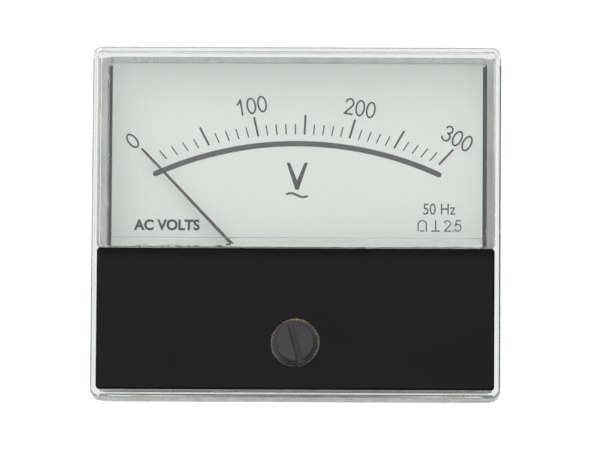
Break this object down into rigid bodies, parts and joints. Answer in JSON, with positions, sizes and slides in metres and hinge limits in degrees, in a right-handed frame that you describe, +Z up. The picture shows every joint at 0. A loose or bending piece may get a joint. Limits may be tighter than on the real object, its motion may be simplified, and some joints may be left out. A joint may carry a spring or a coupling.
{
  "type": "panel voltmeter",
  "caption": "Flush panel voltmeter with a pointer over an arc scale, a clear cover, a black lower mask, a zero adjuster and a round rear barrel.",
  "frame": {"origin": "centre of the rear barrel at the base's rear face, which lies on the panel", "axes": "+Y along the barrel, away from the front; the front faces -Y; +Z is up"},
  "size_m": [0.07, 0.049, 0.0604],
  "materials": {
    "clear_cover": "clear moulded polystyrene, polished",
    "mask_black": "fine matte moulded",
    "base_black": "moulded phenolic, satin",
    "zinc_steel": "zinc plated",
    "plated_brass": "turned brass",
    "dial_paint": "satin printed aluminium",
    "cast_alloy": "die cast",
    "soft_iron": "machined and phosphated",
    "magnet_alloy": "ground",
    "former_alloy": "rolled foil",
    "copper_wire": "enamelled copper",
    "staff_steel": "polished",
    "pointer_black": "black lacquered",
    "spring_bronze": "phosphor bronze strip",
    "adjuster_black": "moulded nylon, satin",
    "board_laminate": "phenolic paper laminate",
    "diode_glass": "moulded",
    "resistor_blue": "lacquered film",
    "trimmer_blue": "moulded",
    "wire_insulation": "soft plastic",
    "tinned_metal": "tinned"
  },
  "bodies": {
    "case": {"front_cover": "clear_cover", "lower_mask": "mask_black", "base_housing": "base_black", "case_screws": "zinc_steel", "mounting_studs": "plated_brass", "dial_plate": "dial_paint", "dial_screws": "zinc_steel", "pointer_stops": "staff_steel", "movement_frame": "cast_alloy", "movement_screws": "zinc_steel", "yoke_ring": "soft_iron", "yoke_screws": "zinc_steel", "core_magnet": "magnet_alloy", "core_supports": "plated_brass", "front_bridge": "plated_brass", "bridge_screws": "zinc_steel", "front_jewel_screw": "plated_brass", "front_lock_nut": "plated_brass", "rear_bridge": "plated_brass", "rear_bridge_screws": "zinc_steel", "rear_jewel_screw": "plated_brass", "rear_lock_nut": "plated_brass", "rear_hairspring": "spring_bronze", "circuit_board": "board_laminate", "board_nuts": "plated_brass", "rectifier_diodes": "diode_glass", "multiplier_resistor": "resistor_blue", "trim_resistor": "trimmer_blue", "lead_wires": "wire_insulation", "terminal_studs": "plated_brass", "terminal_nuts": "plated_brass", "terminal_washers": "zinc_steel", "solder_lugs": "tinned_metal"},
    "moving_system": {"coil_former": "former_alloy", "coil_winding": "copper_wire", "pivot_staffs": "staff_steel", "pointer": "pointer_black", "balance_weights": "plated_brass"},
    "adjuster": {"zero_screw": "adjuster_black", "zero_clip": "zinc_steel"},
    "spring_lever": {"zero_lever": "plated_brass", "front_hairspring": "spring_bronze"}
  },
  "joints": [
    {"name": "pointer_swing", "type": "hinge", "parent": "case", "child": "moving_system", "pos_m": [0, 0, -0.0151], "axis": [0, 1, 0], "range_deg": [-4, 90.8], "stiffness_Nm_per_rad": 0.00001},
    {"name": "zero_turn", "type": "hinge", "parent": "case", "child": "adjuster", "pos_m": [0, 0, -0.0207], "axis": [0, 1, 0], "range_deg": [-30, 30]},
    {"name": "spring_lever_turn", "type": "hinge", "parent": "case", "child": "spring_lever", "pos_m": [0, 0, -0.0151], "axis": [0, 1, 0], "range_deg": [-5.5, 5.5]}
  ],
  "couplings": [
    {"joint": "spring_lever_turn", "follows": "zero_turn", "ratio": -0.17}
  ]
}
